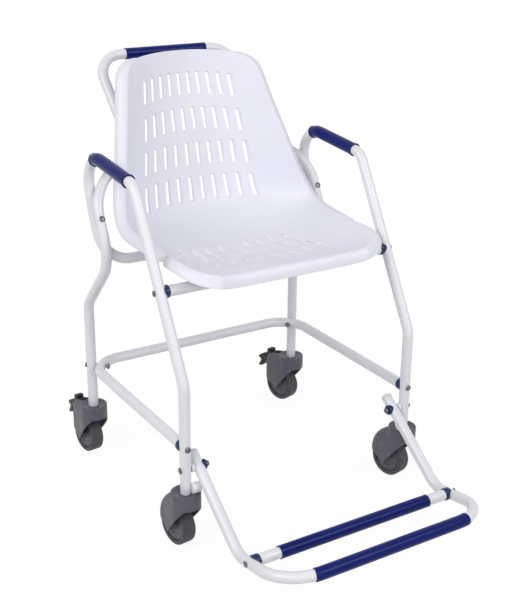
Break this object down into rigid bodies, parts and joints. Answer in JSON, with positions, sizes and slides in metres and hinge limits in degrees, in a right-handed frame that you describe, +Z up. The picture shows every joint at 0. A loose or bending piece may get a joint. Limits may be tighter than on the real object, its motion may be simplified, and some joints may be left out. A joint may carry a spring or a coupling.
{
  "type": "shower trolley",
  "caption": "Mobile attendant shower chair: slotted one-piece seat in a bent tube frame with armrests, push handle, flip-up footrest and hooded castors with rear brakes.",
  "frame": {"origin": "on the floor under the middle of the bounding box", "axes": "+Z up, the chair faces -Y, +X is the right side of the picture"},
  "size_m": [0.593, 0.9092, 0.8876],
  "materials": {
    "frame_tube": "smooth white powder coat",
    "seat_shell": "fine satin moulded surface",
    "sleeve": "satin blue soft sleeve",
    "saddle": "satin blue moulding",
    "white_trim": "satin white moulding",
    "castor_hood": "satin grey moulding",
    "wheel_core": "satin grey moulding",
    "tyre": "smooth grey rubber",
    "brake_pedal": "satin black moulding",
    "bare_steel": "plain steel",
    "fastener": "plated steel"
  },
  "bodies": {
    "chair": {"arm_frame": "frame_tube", "arm_joint_bolt_left": "fastener", "arm_joint_bolt_right": "fastener", "arm_sleeve_left": "sleeve", "arm_sleeve_right": "sleeve", "castor_front_left_stem": "bare_steel", "castor_front_right_stem": "bare_steel", "castor_rear_left_stem": "bare_steel", "castor_rear_right_stem": "bare_steel", "footrest_stop_left": "white_trim", "footrest_stop_right": "white_trim", "front_seat_bar": "frame_tube", "lower_frame": "frame_tube", "lower_saddle_left": "saddle", "lower_saddle_right": "saddle", "lower_screw_left": "fastener", "lower_screw_right": "fastener", "pivot_bolt_left": "fastener", "pivot_bolt_right": "fastener", "push_frame": "frame_tube", "push_grip": "sleeve", "rear_corner_bolt_left": "fastener", "rear_corner_bolt_right": "fastener", "seat_bar_saddle_left": "saddle", "seat_bar_saddle_right": "saddle", "seat_bar_screw_left": "fastener", "seat_bar_screw_right": "fastener", "seat_shell": "seat_shell"},
    "footrest": {"footrest_frame": "frame_tube", "footrest_tread_bar": "frame_tube", "footrest_front_sleeve": "sleeve", "footrest_rear_sleeve": "sleeve", "tread_bar_saddle_left": "saddle", "tread_bar_saddle_right": "saddle", "tread_bar_screw_left": "fastener", "tread_bar_screw_right": "fastener", "pivot_washer_left": "saddle", "pivot_washer_right": "saddle", "footrest_plug_left": "white_trim", "footrest_plug_right": "white_trim"},
    "castor_front_left_fork": {"castor_front_left_hood": "castor_hood", "castor_front_left_axle": "bare_steel"},
    "castor_front_left_wheel": {"castor_front_left_wheel_core": "wheel_core", "castor_front_left_tyre": "tyre"},
    "castor_front_right_fork": {"castor_front_right_hood": "castor_hood", "castor_front_right_axle": "bare_steel"},
    "castor_front_right_wheel": {"castor_front_right_wheel_core": "wheel_core", "castor_front_right_tyre": "tyre"},
    "castor_rear_left_fork": {"castor_rear_left_hood": "castor_hood", "castor_rear_left_axle": "bare_steel"},
    "castor_rear_left_wheel": {"castor_rear_left_wheel_core": "wheel_core", "castor_rear_left_tyre": "tyre"},
    "castor_rear_left_brake": {"castor_rear_left_brake_pedal": "brake_pedal"},
    "castor_rear_right_fork": {"castor_rear_right_hood": "castor_hood", "castor_rear_right_axle": "bare_steel"},
    "castor_rear_right_wheel": {"castor_rear_right_wheel_core": "wheel_core", "castor_rear_right_tyre": "tyre"},
    "castor_rear_right_brake": {"castor_rear_right_brake_pedal": "brake_pedal"}
  },
  "joints": [
    {"name": "footrest_flip", "type": "hinge", "parent": "chair", "child": "footrest", "pos_m": [0, -0.1306, 0.1745], "axis": [-1, 0, 0], "range_deg": [0, 98]},
    {"name": "castor_front_left_swivel", "type": "hinge", "parent": "chair", "child": "castor_front_left_fork", "pos_m": [-0.2665, -0.1306, 0.11], "axis": [0, 0, 1], "continuous": true},
    {"name": "castor_front_left_roll", "type": "hinge", "parent": "castor_front_left_fork", "child": "castor_front_left_wheel", "pos_m": [-0.26986, -0.10321, 0.0405], "axis": [0.9925, 0.1219, 0], "continuous": true},
    {"name": "castor_front_right_swivel", "type": "hinge", "parent": "chair", "child": "castor_front_right_fork", "pos_m": [0.2665, -0.1306, 0.11], "axis": [0, 0, 1], "continuous": true},
    {"name": "castor_front_right_roll", "type": "hinge", "parent": "castor_front_right_fork", "child": "castor_front_right_wheel", "pos_m": [0.2609, -0.10357, 0.0405], "axis": [0.9792, 0.2028, 0], "continuous": true},
    {"name": "castor_rear_left_swivel", "type": "hinge", "parent": "chair", "child": "castor_rear_left_fork", "pos_m": [-0.2665, 0.3099, 0.11], "axis": [0, 0, 1], "continuous": true},
    {"name": "castor_rear_left_roll", "type": "hinge", "parent": "castor_rear_left_fork", "child": "castor_rear_left_wheel", "pos_m": [-0.26986, 0.33729, 0.0405], "axis": [0.9925, 0.1219, 0], "continuous": true},
    {"name": "castor_rear_left_brake_press", "type": "hinge", "parent": "castor_rear_left_fork", "child": "castor_rear_left_brake", "pos_m": [-0.27064, 0.34365, 0.094], "axis": [-0.9925, -0.1219, 0], "range_deg": [0, 12]},
    {"name": "castor_rear_right_swivel", "type": "hinge", "parent": "chair", "child": "castor_rear_right_fork", "pos_m": [0.2665, 0.3099, 0.11], "axis": [0, 0, 1], "continuous": true},
    {"name": "castor_rear_right_roll", "type": "hinge", "parent": "castor_rear_right_fork", "child": "castor_rear_right_wheel", "pos_m": [0.25954, 0.33661, 0.0405], "axis": [0.9677, 0.2521, 0], "continuous": true},
    {"name": "castor_rear_right_brake_press", "type": "hinge", "parent": "castor_rear_right_fork", "child": "castor_rear_right_brake", "pos_m": [0.25793, 0.3428, 0.094], "axis": [-0.9677, -0.2521, 0], "range_deg": [0, 12]}
  ]
}
